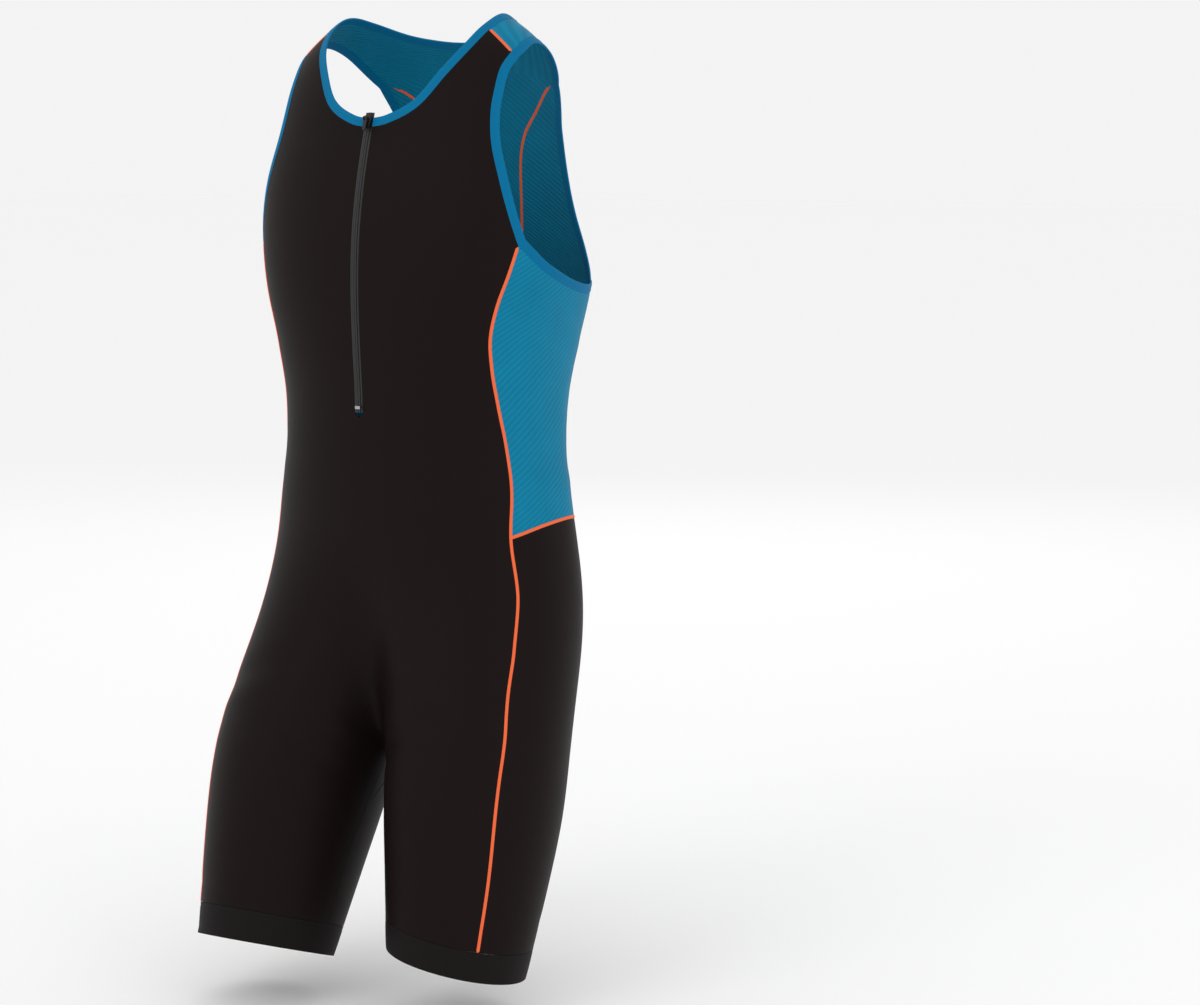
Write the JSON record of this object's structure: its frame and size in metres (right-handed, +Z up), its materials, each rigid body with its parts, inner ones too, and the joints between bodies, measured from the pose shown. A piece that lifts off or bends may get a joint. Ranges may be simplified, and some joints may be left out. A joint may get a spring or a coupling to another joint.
{
  "type": "triathlon suit",
  "caption": "Sleeveless triathlon suit with short legs and a front zip, filled out as worn in a slight stride.",
  "frame": {"origin": "midway between the two shoulder straps, at the height where the wearer's shoulders hold them", "axes": "+Z up, the front of the suit faces -Y, the wearer's left is +X"},
  "size_m": [0.3491, 0.3343, 0.9133],
  "materials": {
    "black_knit": "matte",
    "blue_knit": "matte",
    "edging": "matte",
    "seam_thread": "satin",
    "leg_band": "matte",
    "zip_nylon": "satin",
    "zip_metal": "satin",
    "stop_metal": "satin"
  },
  "bodies": {
    "suit": {"front": "black_knit", "back_centre": "blue_knit", "back_yoke": "black_knit", "seat": "black_knit", "side_left": "blue_knit", "side_right": "blue_knit", "back_left": "blue_knit", "back_right": "blue_knit", "leg_side_left": "black_knit", "leg_side_right": "black_knit", "leg_band_left": "leg_band", "leg_band_right": "leg_band", "arm_edging_left": "edging", "arm_edging_right": "edging", "neck_edging": "edging", "zip_chain": "zip_nylon", "zip_tape_left": "zip_nylon", "zip_tape_right": "zip_nylon", "zip_slider": "zip_metal", "zip_stop": "stop_metal"},
    "pull": {"zip_pull": "zip_metal"}
  },
  "joints": [
    {"name": "pull_swing", "type": "hinge", "parent": "suit", "child": "pull", "pos_m": [0, -0.09849, -0.08699], "axis": [-1, 0, 0], "range_deg": [0, 150]}
  ]
}
